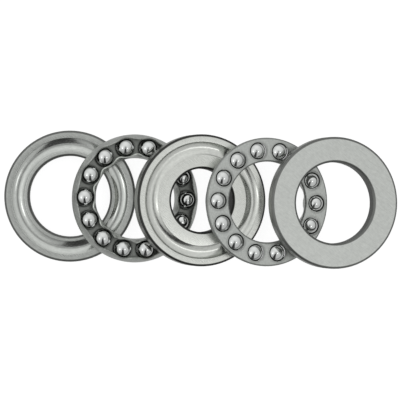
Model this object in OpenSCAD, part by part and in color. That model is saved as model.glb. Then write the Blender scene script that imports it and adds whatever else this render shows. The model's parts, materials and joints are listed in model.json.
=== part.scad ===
// Double-direction thrust ball bearing, taken apart and fanned out in a row.
//
// The row starts at the left with the lower housing washer, which lies flat with
// its raceway up. Each next piece leans on the one before it: a ball and cage
// assembly, the shaft washer with a raceway on both faces, the second ball and
// cage assembly and the upper housing washer with its raceway down.
// Every ring is modelled about its own axis and then leaned over into its place.

/* [Bearing] */
// Outer diameter of the three washers
outer_d = 52; // [51.6:0.1:52]
// Bore of the shaft washer
shaft_d = 25; // [20:0.5:28]
// Bore of the two housing washers
housing_d = 32; // [30.4:0.2:33]
// Height of the assembled bearing
bearing_h = 29; // [28:0.1:29]
// Thickness of the shaft washer
shaft_washer_t = 7; // [6:0.1:7]
// Edge chamfer of the washers
edge_chamfer = 0.7; // [0.3:0.05:1]

/* [Balls and raceways] */
// Ball diameter
ball_d = 7.144; // [6.9:0.001:7.144]
// Diameter of the circle through the ball centres
pitch_d = 41; // [40.6:0.1:41.4]
// Number of balls in each cage
ball_count = 14; // [10:1:14]
// Radius of the raceway groove as a share of the ball diameter
groove_ratio = 0.54; // [0.52:0.01:0.58]
// Depth of each raceway groove
groove_depth = 1; // [0.6:0.1:1.2]

/* [Cages] */
// Outer diameter of the cage
cage_outer_d = 50.7; // [50:0.1:50.7]
// Inner diameter of the cage
cage_inner_d = 31.8; // [31.2:0.1:32]
// Height of the pressed cage from web to lips
cage_h = 4.7; // [4:0.1:4.7]
// Sheet thickness of the cage's web
web_t = 0.6; // [0.5:0.05:0.8]
// Play between a ball and its pocket
pocket_play = 0.12; // [0.08:0.01:0.2]

/* [Row] */
// Turn of the balls about the cage axes, in degrees
ball_phase = -1.5; // [-12:0.5:12]
// Gap between the floor and the lowest point of a leaning ring
floor_gap = 0.02; // [0:0.01:0.1]

/* [Hidden] */

$fn = 180;

outer_r = outer_d / 2;
ball_r = ball_d / 2;
pitch_r = pitch_d / 2;
groove_r = groove_ratio * ball_d;
face_gap = ball_d - 2 * groove_depth;
housing_washer_t = (bearing_h - shaft_washer_t - 2 * face_gap) / 2;
ball_pitch = 360 / ball_count;

// Cage: the walls lean in from the web's edges to the lips.
cage_ro = cage_outer_d / 2;
cage_ri = cage_inner_d / 2;
outer_lip_ro = cage_ro - 1.1;
outer_lip_ri = cage_ro - 2.25;
inner_lip_ro = cage_ri + 1.75;
inner_lip_ri = cage_ri + 0.3;
web_hole_r = ball_r - 0.37;
lip_notch_r = ball_r - 0.17;
web_edge = 0.3;

// Centre of each ring in plan, from left to right, and how far it leans to the right.
row_x = [-51.65, -25.5, 0, 26, 52.5];
row_y = [1.65, 0.75, 0, -0.65, -1];
row_lean = [0, 12.4, 14.4, 18.4, 15.2];

// Half of the row's extent past the end rings puts the origin at its middle.
right_reach = outer_r * cos(row_lean[4])
    + (housing_washer_t / 2 - edge_chamfer) * sin(row_lean[4]);
mid_x = (row_x[0] - outer_r + row_x[4] + right_reach) / 2;
mid_y = (row_y[0] + row_y[4]) / 2;

// Height of a washer's centre when its lowest chamfer edge meets the floor.
function washer_rise(t, lean) = max(
    (outer_r - edge_chamfer) * sin(lean) + t / 2 * cos(lean),
    outer_r * sin(lean) + (t / 2 - edge_chamfer) * cos(lean));

// Height of a cage's centre when its lowest ball, or its web's edge, meets the floor.
function cage_rise(lean) = max(
    pitch_r * sin(lean) + ball_r,
    cage_ro * sin(lean) + (cage_h / 2 - web_edge) * cos(lean));

rise = [
    housing_washer_t / 2,
    cage_rise(row_lean[1]) + floor_gap,
    washer_rise(shaft_washer_t, row_lean[2]) + floor_gap,
    cage_rise(row_lean[3]) + floor_gap,
    washer_rise(housing_washer_t, row_lean[4]) + floor_gap
];

function ball_name(side, i) = str(side, "_ball_", i < 10 ? "0" : "", i);

// Stands a ring in its place in the row.
module in_row(place) {
    translate([row_x[place] - mid_x, row_y[place] - mid_y, rise[place]])
        rotate([0, row_lean[place], 0])
            children();
}

// Ring of rectangular section with chamfered edges, centred on its axis.
module plain_ring(bore_r, t) {
    c = edge_chamfer;
    h = t / 2;
    rotate_extrude()
        polygon([
            [bore_r, -h + c], [bore_r + c, -h], [outer_r - c, -h], [outer_r, -h + c],
            [outer_r, h - c], [outer_r - c, h], [bore_r + c, h], [bore_r, h - c]
        ]);
}

// Torus that cuts a raceway into a face at height z; side is 1 for an upper face.
module raceway(z, side) {
    rotate_extrude()
        translate([pitch_r, z + side * (groove_r - groove_depth)])
            circle(r = groove_r);
}

// Housing washer with its raceway in the upper (side 1) or lower (side -1) face.
module housing_washer(side) {
    difference() {
        plain_ring(housing_d / 2, housing_washer_t);
        raceway(side * housing_washer_t / 2, side);
    }
}

module lower_housing_washer() {
    color("silver")
        in_row(0)
            housing_washer(1);
}

module shaft_washer() {
    color("gainsboro")
        in_row(2)
            difference() {
                plain_ring(shaft_d / 2, shaft_washer_t);
                raceway(shaft_washer_t / 2, 1);
                raceway(-shaft_washer_t / 2, -1);
            }
}

module upper_housing_washer() {
    color("silver")
        in_row(4)
            housing_washer(-1);
}

// Places its children at one ball's centre on the pitch circle.
module at_ball(i) {
    rotate([0, 0, ball_phase + (i - 1) * ball_pitch])
        translate([pitch_r, 0, 0])
            children();
}

// Pressed channel with its web below and its two lips above the balls.
module channel() {
    h = cage_h / 2;
    rotate_extrude()
        polygon([
            [cage_ri + web_edge, -h], [cage_ro - web_edge, -h], [cage_ro, -h + web_edge],
            [outer_lip_ro, h], [outer_lip_ri, h], [cage_ro - 0.9, -h + web_t],
            [cage_ri + 0.9, -h + web_t], [inner_lip_ro, h], [inner_lip_ri, h],
            [cage_ri, -h + web_edge]
        ]);
}

// Room for one ball: a sphere, a hole through the web and a notch through the lips.
module pocket() {
    sphere(r = ball_r + pocket_play);
    translate([0, 0, -cage_h])
        cylinder(r = web_hole_r, h = cage_h);
    cylinder(r = lip_notch_r, h = cage_h);
}

// The cage with its web below its balls; turned over, the web is above them.
module cage() {
    difference() {
        channel();
        for (i = [1:ball_count])
            at_ball(i)
                pocket();
    }
}

module lower_cage() {
    color("darkgray")
        in_row(1)
            cage();
}

module upper_cage() {
    color("darkgray")
        in_row(3)
            mirror([0, 0, 1])
                cage();
}

module ball(place, i) {
    color("whitesmoke")
        in_row(place)
            at_ball(i)
                sphere(r = ball_r);
}

lower_housing_washer();
shaft_washer();
upper_housing_washer();
lower_cage();
upper_cage();
for (i = [1:ball_count])
    ball(1, i);
for (i = [1:ball_count])
    ball(3, i);
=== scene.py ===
"""Looks of a double-direction thrust ball bearing, taken apart and fanned out in a row.

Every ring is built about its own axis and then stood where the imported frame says, so
each mesh lies in the row frame and its object sits at the origin. Lengths are in
millimetres up to the point where a mesh is made, and in metres from there on.
"""

import json
import math

import bmesh
import bpy
from mathutils import Matrix, Vector


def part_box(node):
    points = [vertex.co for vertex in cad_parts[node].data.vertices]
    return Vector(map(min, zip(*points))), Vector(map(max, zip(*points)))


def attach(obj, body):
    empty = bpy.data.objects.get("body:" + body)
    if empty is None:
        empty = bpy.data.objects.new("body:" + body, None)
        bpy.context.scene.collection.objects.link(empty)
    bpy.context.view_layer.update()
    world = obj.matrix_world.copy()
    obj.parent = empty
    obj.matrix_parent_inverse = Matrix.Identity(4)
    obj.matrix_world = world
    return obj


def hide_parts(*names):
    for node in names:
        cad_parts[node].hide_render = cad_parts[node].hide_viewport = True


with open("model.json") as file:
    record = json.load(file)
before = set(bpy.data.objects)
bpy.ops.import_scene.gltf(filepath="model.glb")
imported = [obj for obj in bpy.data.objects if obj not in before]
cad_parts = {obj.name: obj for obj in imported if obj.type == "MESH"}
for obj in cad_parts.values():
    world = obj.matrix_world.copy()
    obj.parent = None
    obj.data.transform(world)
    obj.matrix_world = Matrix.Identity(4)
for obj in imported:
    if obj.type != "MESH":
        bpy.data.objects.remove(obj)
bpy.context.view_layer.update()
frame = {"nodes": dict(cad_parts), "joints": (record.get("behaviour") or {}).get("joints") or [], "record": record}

MM = 0.001

# Washers
EDGE_CHAMFER = 0.7
EDGE_ROUND = 0.14
GROOVE_SHARE = 0.54  # groove radius as a share of the ball diameter
GROOVE_DEPTH = 1.0
GROOVE_STEPS = 32
RIM_ROUND = 0.3  # rounding where a raceway meets the face
RIM_IN_GROOVE = 0.5  # how much of the raceway's finish its rim has
FACE_LOOP = 0.25  # from a chamfer to the loop that keeps the face beside it flat
CORNER_STEPS = 4
LATHE_STEPS = 288

# How much darker than its faces a washer's chamfers, outside and bore are: partly their unground finish, partly
# painted shade
HOUSING_DARK = (0.65, 0.4, 0.78)
SHAFT_DARK = (0.9, 0.42, 0.98)

# Cages, measured on the middle of the sheet
SHEET = 0.55
BEND = 0.5
LIP_BACK = 0.15  # how far the lips' edges stay inside the cage's full height
OUTER_LIP_AT_BALL = 1.2  # from the cage's outer radius to the lip
OUTER_LIP_BETWEEN = 2.0
INNER_LIP_AT_BALL = 0.75  # from the cage's inner radius to the lip
INNER_LIP_BETWEEN = 1.75
INNER_LIP_FLAT = 0.15  # share of half a sector over which the inner lip stays even
WALL_CURL = 1.6  # 1 is a straight wall, more curls it in near the lip
WEB_BACK = 0.3  # how far the domes' tops stay inside the cage's full height
HOLE_RADIUS = 3.37
DOME_RISE = 0.15
DOME_RADIUS = 4.3
HOLE_CIRCLES = (0.05, 0.11, 0.19)  # circles of mesh round a hole, outside its edge
ARC_STEPS = 22
SIDE_STEPS = 10
SPREAD_STEPS = 6
BEND_STEPS = 5
WALL_STEPS = 9
WELD = 0.001  # vertices nearer than this are one
SHEET_BEVEL = 0.09
BEVEL_OVER_DEG = 50  # edges sharper than this are softened
POCKET_REACH = 4.5  # how far from a ball's axis the sheet gets painted shade
LIP_SHINE_REACH = 0.3  # height of the band along the lips with a painted highlight and less roughness

# Balls
BALL_SUBDIVISIONS = 5
BALL_SHIFT = (11.0, 7.0, 3.0)  # from one ball's place in the noise to the next one's

# Materials. A tone is a share of the material's own, up and down.
NOISE_LOW, NOISE_HIGH = 0.3, 0.7  # the part of a noise's values that is spread over a range
SCRATCH_ACROSS = (0.62, 0.78)  # directions in a washer's own X and Y
SCRATCH_ALONG = (0.78, -0.62)
SCRATCH_STRETCH = 0.07  # less draws a pattern out further
TURNED_STRETCH = 0.9
ROLLED_STRETCH = 0.12
GRAIN_TONE, CLOUD_TONE = 0.11, 0.07
MOTTLE_TONE, ROLLED_TONE = 0.14, 0.08
TURNED_FROM = 0.3  # darkness from which the grain runs wholly round the ring
DARK_ROUGH = 0.2  # roughness that full darkness adds
RUBBED_ROUGH = -0.1  # roughness that rubbing adds along the lips
ROLLED_BUMP = 0.4  # height of the rolling marks, as a share of the orange peel's
BEND_SHADE = 0.55  # painted shade in the bends, as a share of the flat sheet's tone
WASHER_BUMP, CAGE_BUMP, BALL_BUMP = 3.0e-6, 6.0e-6, 2.0e-7  # metres

# Camera, straight above the row
CAMERA_HEIGHT = 1.0
CAMERA_X, CAMERA_Y = -0.0003, -0.0002
FRAME_WIDTH = 0.1594  # width of floor that the picture takes in
SENSOR = 36.0

# Sky: its level at the horizon and from the height SKY_RISE up, then soft patches:
# direction, degrees to half strength, and strength
SKY_LOW, SKY_HIGH, SKY_RISE = 0.18, 0.58, 0.3
SKY_LEAST = 0.02
SKY_LOBES = (
    ((0.0, 0.8, 0.75), 38, 0.33),  # the bright back of the tent
    ((0.06, 0.0, 1.0), 9, -0.48),  # the camera and its stand
    ((0.6, 0.0, 1.0), 16, 0.1),  # glow about the right lamp
    ((-0.8, 0.0, 1.0), 17, 0.42),  # glow about the left lamp
    ((-0.35, -0.8, 0.3), 18, -0.2),  # gap at the front of the tent
)
LAMP_HEIGHT, LAMP_RADIUS = 1.1, 0.13
LAMP_FORWARD_DEG = -11
STAGE_REACH = 3.0  # half the floor's side, and the dome's radius
BOUNCE_HALF = 0.16  # half the side of the floor that reflections see


# ---- placing ----------------------------------------------------------------------


def ring_place(centre, axis):
    """Matrix of a ring's own frame, in metres: Z along its axis, upwards, and Y along the row's Y."""
    z = Vector(axis).normalized()
    if z.z < 0:
        z = -z
    y = Vector((0, 1, 0))
    x = y.cross(z).normalized()
    place = Matrix((x, y, z)).transposed().to_4x4()
    place.translation = Vector(centre)
    return place


def joint_place(name):
    joint = next(j for j in frame["joints"] if j["name"] == name)
    return ring_place(joint["pos_m"], joint["axis"])


def mount_place(name):
    mount = next(m for m in frame["record"]["mounts"] if m["name"] == name)
    return ring_place(mount["pos_m"], mount["axis"])


def ring_size(node, place):
    """Inner radius, outer radius and half height of a CAD ring, in millimetres."""
    inverse = place.inverted()
    points = [inverse @ v.co for v in frame["nodes"][node].data.vertices]
    radii = [math.hypot(p.x, p.y) / MM for p in points]
    return min(radii), max(radii), max(p.z for p in points) / MM


def ball_places(side):
    """Name, centre and radius of each ball of a side, in metres, in the order of their names."""
    balls = []
    for name in sorted(n for n in frame["nodes"] if n.startswith(side + "_ball_")):
        low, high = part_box(name)
        balls.append((name, (low + high) / 2, (high.z - low.z) / 2))
    return balls


# ---- materials --------------------------------------------------------------------


def put(tree, socket, value):
    """Links value to a socket if value is a socket itself, and otherwise sets it."""
    if isinstance(value, bpy.types.NodeSocket):
        tree.links.new(value, socket)
    else:
        socket.default_value = value


def calc(tree, operation, *values):
    node = tree.nodes.new("ShaderNodeMath")
    node.operation = operation
    for socket, value in zip(node.inputs, values):
        put(tree, socket, value)
    return node.outputs[0]


def remap(tree, value, from_low, from_high, to_low, to_high):
    """Value moved evenly from one range to another and kept inside it."""
    node = tree.nodes.new("ShaderNodeMapRange")
    for socket, number in zip(node.inputs, (value, from_low, from_high, to_low, to_high)):
        put(tree, socket, number)
    return node.outputs[0]


def spread(tree, pattern, low, high):
    """A noise spread from low to high."""
    return remap(tree, pattern, NOISE_LOW, NOISE_HIGH, low, high)


def blend(tree, share, first, second):
    """Mix of two numbers."""
    node = tree.nodes.new("ShaderNodeMix")
    for socket, value in zip(node.inputs, (share, None, first, second)):
        if value is not None:
            put(tree, socket, value)
    return node.outputs[0]


def tint(tree, value, colour):
    """A grey value times a colour, as a colour."""
    node = tree.nodes.new("ShaderNodeVectorMath")
    node.operation = "SCALE"
    node.inputs[0].default_value = colour
    put(tree, node.inputs["Scale"], value)
    return node.outputs[0]


def join(tree, *values):
    node = tree.nodes.new("ShaderNodeCombineXYZ")
    for socket, value in zip(node.inputs, values):
        put(tree, socket, value)
    return node.outputs[0]


def noise(tree, vector, scale, detail, rough):
    node = tree.nodes.new("ShaderNodeTexNoise")
    put(tree, node.inputs["Vector"], vector)
    node.inputs["Scale"].default_value = scale
    node.inputs["Detail"].default_value = detail
    node.inputs["Roughness"].default_value = rough
    return node.outputs["Fac"]


def attribute(tree, name):
    node = tree.nodes.new("ShaderNodeAttribute")
    node.attribute_name = name
    return node.outputs["Vector"] if name == "own_place" else node.outputs["Fac"]


def ring_coordinates(tree):
    """A point's place about the ring's own axis, in millimetres, whole and as x, y and z."""
    place = attribute(tree, "own_place")
    parts = tree.nodes.new("ShaderNodeSeparateXYZ")
    tree.links.new(place, parts.inputs[0])
    return place, *parts.outputs


def dot(tree, x, y, other):
    """Dot product of (x, y) with another pair."""
    u, v = other
    return calc(tree, "ADD", calc(tree, "MULTIPLY", x, u), calc(tree, "MULTIPLY", y, v))


def polar(tree, x, y):
    """Radius and angle of a point."""
    return calc(tree, "SQRT", dot(tree, x, y, (x, y))), calc(tree, "ARCTAN2", y, x)


def metal(name):
    """A new metal material with its node tree and its Principled shader."""
    made = bpy.data.materials.new(name)
    made.use_nodes = True
    tree = made.node_tree
    shader = tree.nodes["Principled BSDF"]
    shader.inputs["Metallic"].default_value = 1.0
    return made, tree, shader


def bump(tree, shader, height, depth):
    """Raises the surface by height, a share from 0 to 1, times depth in metres."""
    node = tree.nodes.new("ShaderNodeBump")
    node.inputs["Strength"].default_value = 1.0
    node.inputs["Distance"].default_value = depth
    put(tree, node.inputs["Height"], height)
    tree.links.new(node.outputs[0], shader.inputs["Normal"])


def washer_steel(name, tone, colour, land_rough, groove_rough):
    """Ground faces with fine slanted scratches, honed raceways and darker unground sides, their darkness partly
    their finish and partly painted shade.
    """
    made, tree, shader = metal(name)
    place, x, y, z = ring_coordinates(tree)
    radius, angle = polar(tree, x, y)
    groove = attribute(tree, "groove")
    dark = attribute(tree, "dark")
    long_way = calc(tree, "MULTIPLY", dot(tree, x, y, SCRATCH_ALONG), SCRATCH_STRETCH)
    scratches = join(tree, dot(tree, x, y, SCRATCH_ACROSS), long_way, z)
    scratch = noise(tree, scratches, scale=5.0, detail=5.0, rough=0.65)
    turning = join(tree, radius, calc(tree, "MULTIPLY", angle, TURNED_STRETCH), z)
    turned = noise(tree, turning, scale=7.0, detail=5.0, rough=0.6)
    cloud = noise(tree, place, scale=0.8, detail=5.0, rough=0.7)
    unground = remap(tree, dark, 0.0, TURNED_FROM, 0.0, 1.0)
    grain = blend(tree, calc(tree, "MAXIMUM", groove, unground), scratch, turned)
    clouding = spread(tree, cloud, -CLOUD_TONE, CLOUD_TONE)
    value = calc(tree, "ADD", spread(tree, grain, -GRAIN_TONE, GRAIN_TONE), clouding)
    value = calc(tree, "MULTIPLY", calc(tree, "ADD", value, 1.0), tone)
    # darker chamfers, outside and bore: partly their unground finish, partly painted shade
    value = calc(tree, "MULTIPLY", value, calc(tree, "SUBTRACT", 1.0, dark))
    tree.links.new(tint(tree, value, colour), shader.inputs["Base Color"])
    rough = blend(tree, groove, land_rough, groove_rough)
    rough = calc(tree, "ADD", rough, spread(tree, grain, -0.04, 0.05))
    rough = calc(tree, "ADD", rough, calc(tree, "MULTIPLY", dark, DARK_ROUGH))
    tree.links.new(rough, shader.inputs["Roughness"])
    bump(tree, shader, grain, WASHER_BUMP)
    return made


def cage_steel(name, tone, colour, lip_painted_highlight, pocket_painted_shade):
    """Pressed sheet: satin and mottled, smoother along its lips with a painted highlight there, painted shade in
    its bends and painted shade round the balls.
    """
    made, tree, shader = metal(name)
    place, x, y, z = ring_coordinates(tree)
    rim = attribute(tree, "rim")
    pocket = attribute(tree, "pocket")
    mottle = noise(tree, place, scale=1.3, detail=5.0, rough=0.65)
    rolling = join(tree, x, calc(tree, "MULTIPLY", y, ROLLED_STRETCH), z)
    rolled = noise(tree, rolling, scale=6.0, detail=4.0, rough=0.6)
    peel = noise(tree, place, scale=5.5, detail=3.0, rough=0.5)
    marks = spread(tree, rolled, -ROLLED_TONE, ROLLED_TONE)
    value = calc(tree, "ADD", spread(tree, mottle, -MOTTLE_TONE, MOTTLE_TONE), marks)
    value = calc(tree, "MULTIPLY", calc(tree, "ADD", value, 1.0), tone)
    # painted highlight along the lips
    value = calc(tree, "MULTIPLY", value, remap(tree, rim, 0.0, 1.0, 1.0, lip_painted_highlight))
    # painted shade in the bends
    value = calc(tree, "MULTIPLY", value, remap(tree, rim, -1.0, 0.0, BEND_SHADE, 1.0))
    # painted shade round the balls
    value = calc(tree, "MULTIPLY", value, remap(tree, pocket, 0.0, 1.0, 1.0, pocket_painted_shade))
    tree.links.new(tint(tree, value, colour), shader.inputs["Base Color"])
    rubbed = calc(tree, "MULTIPLY", rim, RUBBED_ROUGH)
    rough = calc(tree, "ADD", spread(tree, mottle, 0.34, 0.46), rubbed)
    tree.links.new(rough, shader.inputs["Roughness"])
    height = calc(tree, "ADD", peel, calc(tree, "MULTIPLY", rolled, ROLLED_BUMP))
    bump(tree, shader, height, CAGE_BUMP)
    return made


def ball_steel(name, tone, colour):
    """Mirror-polished steel with faint cloudiness and hairline marks from running."""
    made, tree, shader = metal(name)
    place = attribute(tree, "own_place")
    cloud = noise(tree, place, scale=0.5, detail=3.0, rough=0.5)
    hair = noise(tree, place, scale=9.0, detail=5.0, rough=0.7)
    value = calc(tree, "MULTIPLY", spread(tree, cloud, 0.97, 1.02), tone)
    tree.links.new(tint(tree, value, colour), shader.inputs["Base Color"])
    marks = remap(tree, hair, 0.55, 0.75, 0.0, 0.03)
    rough = calc(tree, "ADD", spread(tree, cloud, 0.035, 0.06), marks)
    tree.links.new(rough, shader.inputs["Roughness"])
    bump(tree, shader, hair, BALL_BUMP)
    return made


# ---- meshes -----------------------------------------------------------------------


def rounded(before, corner, after, radius):
    """Points of the arc that rounds a corner of an outline."""
    u, v = (before - corner).normalized(), (after - corner).normalized()
    half = u.angle(v) / 2
    centre = corner + (u + v).normalized() * (radius / math.sin(half))
    reach = radius / math.tan(half)
    start = u * reach + corner - centre
    end = v * reach + corner - centre
    turns = [-start.angle_signed(end) * i / CORNER_STEPS for i in range(CORNER_STEPS + 1)]
    return [centre + Matrix.Rotation(turn, 2) @ start for turn in turns]


def outline(corners):
    """Closed outline from corners, each (point, rounding, groove, dark), as (point, groove, dark)."""
    made = []
    for i, (point, rounding, groove, dark) in enumerate(corners):
        before, after = corners[i - 1][0], corners[(i + 1) % len(corners)][0]
        if rounding:
            made += [(p, groove, dark) for p in rounded(before, point, after, rounding)]
        else:
            made.append((point, groove, dark))
    return made


def raceway(z, side, pitch, radius, outward):
    """Corners of a raceway in the face at height z, going outward or not. side is 1 for an upper face."""
    centre = Vector((pitch, z + side * (radius - GROOVE_DEPTH)))
    reach = math.acos((radius - GROOVE_DEPTH) / radius)
    corners = []
    for i in range(GROOVE_STEPS + 1):
        a = (2 * i / GROOVE_STEPS - 1) * reach * (1 if outward else -1)
        point = centre + Vector((math.sin(a), -side * math.cos(a))) * radius
        on_rim = i in (0, GROOVE_STEPS)
        corners.append((point, RIM_ROUND, RIM_IN_GROOVE, 0.0) if on_rim else (point, 0, 1.0, 0.0))
    return corners


def washer_outline(size, pitch, groove_radius, grooves, darkness):
    """Outline of a washer's section, anticlockwise from the bore's lower corner."""
    inner, outer, half = size
    # darkness of chamfers, outside and bore: partly their unground finish, partly painted shade
    chamfer_dark, outside_dark, bore_dark = darkness
    c, gap = EDGE_CHAMFER, FACE_LOOP

    def chamfer(*ends):
        return [(Vector(end), EDGE_ROUND, 0.0, chamfer_dark) for end in ends]

    def plain(r, z, dark=0.0):
        return [(Vector((r, z)), 0, 0.0, dark)]

    corners = chamfer((inner, -half + c), (inner + c, -half)) + plain(inner + c + gap, -half)
    if -1 in grooves:
        corners += raceway(-half, -1, pitch, groove_radius, True)
    corners += plain(outer - c - gap, -half) + chamfer((outer - c, -half), (outer, -half + c))
    corners += plain(outer, -half + c + gap, outside_dark)
    corners += plain(outer, half - c - gap, outside_dark)
    corners += chamfer((outer, half - c), (outer - c, half)) + plain(outer - c - gap, half)
    if 1 in grooves:
        corners += raceway(half, 1, pitch, groove_radius, False)
    corners += plain(inner + c + gap, half) + chamfer((inner + c, half), (inner, half - c))
    corners += plain(inner, half - c - gap, bore_dark) + plain(inner, -half + c + gap, bore_dark)
    return outline(corners)


def mesh_object(name, shape, place, material):
    """Object from a bmesh in a ring's own frame in millimetres, which own_place keeps."""
    own = shape.verts.layers.float_vector.new("own_place")
    for v in shape.verts:
        v[own] = v.co
    bmesh.ops.recalc_face_normals(shape, faces=shape.faces)
    mesh = bpy.data.meshes.new(name)
    shape.to_mesh(mesh)
    shape.free()
    mesh.transform(place @ Matrix.Scale(MM, 4))
    if place.determinant() < 0:
        mesh.flip_normals()
    mesh.polygons.foreach_set("use_smooth", [True] * len(mesh.polygons))
    mesh.materials.append(material)
    made = bpy.data.objects.new(name, mesh)
    bpy.context.scene.collection.objects.link(made)
    return made


def lathe(name, section, place, material):
    """Ring turned from a section of (point, groove, dark)."""
    shape = bmesh.new()
    groove = shape.verts.layers.float.new("groove")
    dark = shape.verts.layers.float.new("dark")
    loops = []
    for i in range(LATHE_STEPS):
        a = 2 * math.pi * i / LATHE_STEPS
        loop = []
        for point, in_groove, darkness in section:
            v = shape.verts.new((point.x * math.cos(a), point.x * math.sin(a), point.y))
            v[groove], v[dark] = in_groove, darkness
            loop.append(v)
        loops.append(loop)
    for i, loop in enumerate(loops):
        following = loops[(i + 1) % LATHE_STEPS]
        for j in range(len(section)):
            k = (j + 1) % len(section)
            shape.faces.new((loop[j], following[j], following[k], loop[k]))
    return mesh_object(name, shape, place, material)


def ball(name, centre, radius, number, material):
    """One ball. Its own_place is moved on by its number, so that no two look the same."""
    shape = bmesh.new()
    bmesh.ops.create_icosphere(shape, subdivisions=BALL_SUBDIVISIONS, radius=radius / MM)
    made = mesh_object(name, shape, Matrix.Translation(centre), material)
    for value in made.data.attributes["own_place"].data:
        value.vector += Vector(BALL_SHIFT) * number
    return made


def smooth(x):
    """0 below 0, 1 above 1, and an even turn in between."""
    x = min(max(x, 0.0), 1.0)
    return x * x * (3 - 2 * x)


class Cage:
    """A pressed channel of sheet steel, made sector by sector on the middle of the sheet.

    A sector is the part round one ball. The web is below and the lips are above.
    """

    def __init__(self, inner, outer, half, pitch, phase, count):
        self.web_z = -half + SHEET / 2 + DOME_RISE + WEB_BACK
        self.lip_z = half - LIP_BACK
        self.pitch = pitch
        self.inner, self.outer = inner, outer
        self.web_inner = inner + SHEET / 2 + BEND
        self.web_outer = outer - SHEET / 2 - BEND
        self.phase, self.count = phase, count
        self.half_sector = math.pi / count
        self.shape = bmesh.new()
        self.rim = self.shape.verts.layers.float.new("rim")
        self.pocket = self.shape.verts.layers.float.new("pocket")

    def vertex(self, sector, across, radius, z, rim=0.0):
        """Vertex at an angle across from the middle of a sector.

        rim is 1 along a lip, for a painted highlight, and down to -1 in a bend, for painted shade.
        """
        a = self.phase + 2 * self.half_sector * sector + across
        v = self.shape.verts.new((radius * math.cos(a), radius * math.sin(a), z))
        v[self.rim] = rim
        # pocket rises near the ball's hole, for painted shade round it
        far = math.hypot(radius * math.cos(across) - self.pitch, radius * math.sin(across))
        v[self.pocket] = 1 - smooth((far - HOLE_RADIUS) / (POCKET_REACH - HOLE_RADIUS))
        return v

    def dome(self, x, y):
        """How far the dome round the ball's hole stands out, at x and y in the sector's frame."""
        far = math.hypot(x - self.pitch, y)
        return DOME_RISE * (1 - smooth((far - HOLE_RADIUS) / (DOME_RADIUS - HOLE_RADIUS)))

    def web_vertex(self, sector, x, y):
        return self.vertex(sector, math.atan2(y, x), math.hypot(x, y), self.web_z - self.dome(x, y))

    def web_boundary(self):
        """Points (x, y) round a sector of the web, anticlockwise from one of its outer corners."""
        d, low, high = self.half_sector, self.web_inner, self.web_outer
        points = [(high, -d + 2 * d * i / ARC_STEPS) for i in range(ARC_STEPS)]
        points += [(high + (low - high) * i / SIDE_STEPS, d) for i in range(SIDE_STEPS)]
        points += [(low, d - 2 * d * i / ARC_STEPS) for i in range(ARC_STEPS)]
        points += [(low + (high - low) * i / SIDE_STEPS, -d) for i in range(SIDE_STEPS)]
        return [(r * math.cos(a), r * math.sin(a)) for r, a in points]

    def web(self, sector):
        """Web of one sector: circles round the hole that spread out to the sector's sides."""
        boundary = self.web_boundary()
        loops = []
        for grow in (0.0,) + HOLE_CIRCLES:
            loop = []
            for x, y in boundary:
                a = math.atan2(y, x - self.pitch)
                r = HOLE_RADIUS + grow
                loop.append((self.pitch + r * math.cos(a), r * math.sin(a)))
            loops.append(loop)
        last = loops[-1]
        for i in range(1, SPREAD_STEPS + 1):
            t = i / SPREAD_STEPS
            loops.append([(a + (c - a) * t, b + (d - b) * t) for (a, b), (c, d) in zip(last, boundary)])
        rows = [[self.web_vertex(sector, x, y) for x, y in loop] for loop in loops]
        self.quads(rows, closed=True)

    def lip_radius(self, between, outward):
        """Radius of a scalloped lip, at a share between the ball (0) and the sector's side (1)."""
        if outward > 0:
            turn = smooth(between)
            return self.outer - (OUTER_LIP_AT_BALL + (OUTER_LIP_BETWEEN - OUTER_LIP_AT_BALL) * turn)
        turn = smooth((between - INNER_LIP_FLAT) / (1 - INNER_LIP_FLAT))
        return self.inner + INNER_LIP_AT_BALL + (INNER_LIP_BETWEEN - INNER_LIP_AT_BALL) * turn

    def wall(self, sector, outward):
        """Bend and wall of one sector, up to the scalloped lip. outward is 1 for the outer wall."""
        edge = self.web_outer if outward > 0 else self.web_inner
        straight = edge + outward * BEND
        columns = []
        for i in range(ARC_STEPS + 1):
            across = -self.half_sector + 2 * self.half_sector * i / ARC_STEPS
            between = abs(across) / self.half_sector
            lip = self.lip_radius(between, outward)
            x, y = edge * math.cos(across), edge * math.sin(across)
            column = [self.web_vertex(sector, x, y)]
            for j in range(1, BEND_STEPS + 1):
                b = math.pi / 2 * j / BEND_STEPS
                z = self.web_z + BEND * (1 - math.cos(b)) - self.dome(x, y) * (1 - j / BEND_STEPS)
                radius = edge + outward * BEND * math.sin(b)
                # a rim below 0 in the bend: painted shade there
                column.append(self.vertex(sector, across, radius, z, -math.sin(2 * b)))
            base = self.web_z + BEND
            for j in range(1, WALL_STEPS + 1):
                t = j / WALL_STEPS
                r = straight + (lip - straight) * t**WALL_CURL
                # rim rises to 1 at the lip: a painted highlight along it
                rim = max(0.0, 1 - (1 - t) * (self.lip_z - base) / LIP_SHINE_REACH)
                column.append(self.vertex(sector, across, r, base + (self.lip_z - base) * t, rim))
            columns.append(column)
        self.quads(columns, closed=False)

    def quads(self, rows, closed):
        """Faces between neighbouring rows of vertices. closed joins each row's end to its start."""
        for low, high in zip(rows, rows[1:]):
            last = len(low) if closed else len(low) - 1
            for i in range(last):
                k = (i + 1) % len(low)
                self.shape.faces.new((low[i], low[k], high[k], high[i]))

    def build(self, name, place, material, inside):
        """The finished sheet as an object, with its thickness, an inside in darker steel that is painted shade,
        and softened edges.
        """
        for sector in range(self.count):
            self.web(sector)
            self.wall(sector, 1)
            self.wall(sector, -1)
        bmesh.ops.remove_doubles(self.shape, verts=self.shape.verts, dist=WELD)
        made = mesh_object(name, self.shape, place, material)
        made.data.materials.append(inside)
        thick = made.modifiers.new("sheet", "SOLIDIFY")
        thick.thickness = SHEET * MM
        thick.offset = 0
        thick.use_even_offset = True
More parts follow.
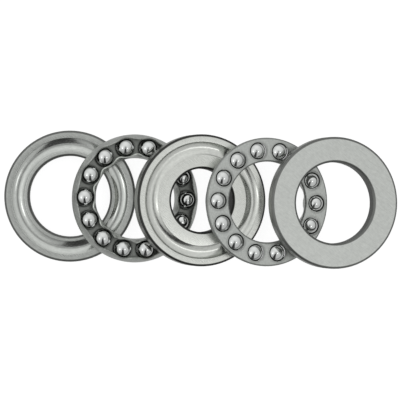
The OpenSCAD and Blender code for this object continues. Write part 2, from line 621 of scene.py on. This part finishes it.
        # the shell's other side and its rims take the inside material, a darker copy of the steel that is painted
        # shade
        thick.material_offset = 1
        thick.material_offset_rim = 1
        soft = made.modifiers.new("edges", "BEVEL")
        soft.width = SHEET_BEVEL * MM
        soft.segments = 2
        soft.limit_method = "ANGLE"
        soft.angle_limit = math.radians(BEVEL_OVER_DEG)
        made.modifiers.new("normals", "WEIGHTED_NORMAL")
        return made


# ---- pieces -----------------------------------------------------------------------


def finish_piece(piece, node):
    """Makes a piece stand for a CAD node and ride on the body of the same name."""
    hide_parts(node)
    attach(piece, node)


def make_washer(node, place, groove, faces, darkness, material):
    """A washer with a raceway in each of its faces: 1 for the upper face, -1 for the lower.

    groove is the raceway's pitch radius and its own radius.
    """
    section = washer_outline(ring_size(node, place), *groove, faces, darkness)
    finish_piece(lathe(node + "_ring", section, place, material), node)


def make_cage_row(side, place, web_up, sheet, inside, polished):
    """One cage with its balls. Gives back the pitch radius and ball diameter in millimetres."""
    balls = ball_places(side)
    first = place.inverted() @ balls[0][1]
    pitch = math.hypot(first.x, first.y) / MM
    phase = math.atan2(first.y, first.x)
    node = side + "_cage"
    inner, outer, half = ring_size(node, place)
    turned = place @ Matrix.Diagonal((1, 1, -1, 1)) if web_up else place
    cage = Cage(inner, outer, half, pitch, phase, len(balls))
    finish_piece(cage.build(node + "_sheet", turned, sheet, inside), node)
    for number, (name, centre, radius) in enumerate(balls):
        finish_piece(ball(name + "_polished", centre, radius, number, polished), name)
    return pitch, 2 * balls[0][2] / MM


def make_bearing():
    housing = washer_steel(
        "housing_washer_steel", tone=0.64, colour=(0.975, 1.0, 0.96), land_rough=0.33, groove_rough=0.17
    )
    shaft = washer_steel(
        "shaft_washer_steel", tone=0.72, colour=(0.985, 1.0, 0.95), land_rough=0.3, groove_rough=0.2
    )
    # the sheet: a painted highlight along its lips and painted shade round the balls
    sheet = cage_steel(
        "cage_sheet_steel", tone=0.57, colour=(0.97, 1.0, 0.96), lip_painted_highlight=1.2, pocket_painted_shade=0.8
    )
    # the inside: a darker copy of the sheet steel as painted shade, with a stronger painted highlight along the
    # lips and deeper painted shade round the balls
    inside = cage_steel(
        "cage_inside_painted_shade_steel", tone=0.25, colour=(0.96, 1.0, 0.94), lip_painted_highlight=2.4, pocket_painted_shade=0.25
    )
    metals = (sheet, inside, ball_steel("ball_steel", tone=0.8, colour=(0.985, 1.0, 0.985)))
    pitch, diameter = make_cage_row("lower", joint_place("lower_cage_spin"), False, *metals)
    make_cage_row("upper", joint_place("upper_cage_spin"), True, *metals)
    groove = (pitch, GROOVE_SHARE * diameter)
    for side, face in (("lower", 1), ("upper", -1)):
        node, place = side + "_housing_washer", mount_place(side + "_outer_seat")
        make_washer(node, place, groove, (face,), HOUSING_DARK, housing)
    place = joint_place("shaft_washer_spin")
    make_washer("shaft_washer", place, groove, (-1, 1), SHAFT_DARK, shaft)


# ---- studio -----------------------------------------------------------------------


def glow_lobe(tree, direction, towards, width_deg, strength):
    """A soft round patch of sky: strength at its middle and half of it at width_deg away."""
    facing = tree.nodes.new("ShaderNodeVectorMath")
    facing.operation = "DOT_PRODUCT"
    tree.links.new(direction, facing.inputs[0])
    facing.inputs[1].default_value = Vector(towards).normalized()
    sharp = math.log(2) / (1 - math.cos(math.radians(width_deg)))
    power = calc(tree, "MULTIPLY", calc(tree, "SUBTRACT", facing.outputs["Value"], 1.0), sharp)
    return calc(tree, "MULTIPLY", calc(tree, "EXPONENT", power), strength)


def make_sky():
    """Soft tent: bright above and behind the row, dark along the horizon and at the camera."""
    world = bpy.data.worlds.new("studio")
    bpy.context.scene.world = world
    world.use_nodes = True
    tree = world.node_tree
    direction = tree.nodes.new("ShaderNodeTexCoord").outputs["Generated"]
    parts = tree.nodes.new("ShaderNodeSeparateXYZ")
    tree.links.new(direction, parts.inputs[0])
    level = remap(tree, parts.outputs["Z"], 0.0, SKY_RISE, SKY_LOW, SKY_HIGH)
    for towards, width, strength in SKY_LOBES:
        level = calc(tree, "ADD", level, glow_lobe(tree, direction, towards, width, strength))
    level = calc(tree, "MAXIMUM", level, SKY_LEAST)
    put(tree, tree.nodes["Background"].inputs["Strength"], level)
    tree.nodes["Background"].inputs["Color"].default_value = (0.99, 1.0, 0.995, 1.0)


def make_lamp(name, across_deg, radiance):
    """A small round lamp to one side of the camera, aimed at the row."""
    data = bpy.data.lights.new(name, "AREA")
    data.shape = "DISK"
    data.size = 2 * LAMP_RADIUS
    data.energy = radiance * math.pi * math.pi * LAMP_RADIUS * LAMP_RADIUS
    lamp = bpy.data.objects.new(name, data)
    lamp.location = (
        LAMP_HEIGHT * math.tan(math.radians(across_deg)),
        LAMP_HEIGHT * math.tan(math.radians(LAMP_FORWARD_DEG)),
        LAMP_HEIGHT,
    )
    lamp.rotation_euler = Vector(lamp.location).to_track_quat("Z", "Y").to_euler()
    lamp.visible_camera = False
    bpy.context.scene.collection.objects.link(lamp)


def stage_object(name, mesh, material):
    mesh.materials.append(material)
    made = bpy.data.objects.new(name, mesh)
    bpy.context.scene.collection.objects.link(made)
    return made


def stage_panel(name, corners, material):
    mesh = bpy.data.meshes.new(name)
    mesh.from_pydata(corners, [], [(0, 1, 2, 3)])
    return stage_object(name, mesh, material)


def square(half):
    """Corners of a flat square on the floor."""
    return [(-half, -half, 0), (half, -half, 0), (half, half, 0), (-half, half, 0)]


def pale(name, albedo, glow):
    """Matt pale surface that also gives a little light of its own."""
    made = bpy.data.materials.new(name)
    made.use_nodes = True
    shader = made.node_tree.nodes["Principled BSDF"]
    shader.inputs["Base Color"].default_value = (albedo, albedo, albedo, 1)
    shader.inputs["Roughness"].default_value = 1.0
    shader.inputs["Specular IOR Level"].default_value = 0.0
    shader.inputs["Emission Color"].default_value = (1, 1, 1, 1)
    shader.inputs["Emission Strength"].default_value = glow
    return made


def make_floor():
    """The pale floor that the camera sees, and a smaller one that only reflections see."""
    floor = stage_panel("floor", square(STAGE_REACH), pale("floor", albedo=0.3, glow=0.9))
    floor.visible_glossy = False
    floor.visible_shadow = False
    matt = pale("floor_bounce", albedo=0.52, glow=0.0)
    bounce = stage_panel("floor_bounce", square(BOUNCE_HALF), matt)
    bounce.visible_camera = False
    bounce.visible_diffuse = False


def make_dome():
    """A pale background for low views, which only the camera sees."""
    shape = bmesh.new()
    bmesh.ops.create_uvsphere(shape, u_segments=48, v_segments=24, radius=STAGE_REACH)
    mesh = bpy.data.meshes.new("dome")
    shape.to_mesh(mesh)
    shape.free()
    dome = stage_object("dome", mesh, pale("dome", albedo=0.0, glow=0.97))
    dome.visible_diffuse = False
    dome.visible_glossy = False
    dome.visible_transmission = False
    dome.visible_shadow = False


def make_flag():
    """A dark panel in front of the row, wider at its top, which draws the balls' dark stripes."""
    middle, far, top, low_half, high_half = -0.03, -0.2, 0.95, 0.044, 0.14
    corners = [
        (middle - low_half, far, 0),
        (middle + low_half, far, 0),
        (middle + high_half, far, top),
        (middle - high_half, far, top),
    ]
    flag = stage_panel("flag", corners, pale("flag", albedo=0.02, glow=0.03))
    flag.visible_camera = False
    flag.visible_diffuse = False


def make_camera():
    data = bpy.data.cameras.new("camera")
    data.sensor_width = SENSOR
    data.lens = SENSOR * CAMERA_HEIGHT / FRAME_WIDTH
    data.clip_start, data.clip_end = 0.01, 20.0
    camera = bpy.data.objects.new("camera", data)
    camera.location = (CAMERA_X, CAMERA_Y, CAMERA_HEIGHT)
    bpy.context.scene.collection.objects.link(camera)
    bpy.context.scene.camera = camera


make_camera()
make_bearing()
make_sky()
make_lamp("lamp_left", across_deg=-40, radiance=1.7)
make_lamp("lamp_right", across_deg=27, radiance=1.2)
make_floor()
make_dome()
make_flag()
bpy.context.scene.view_settings.view_transform = "Standard"
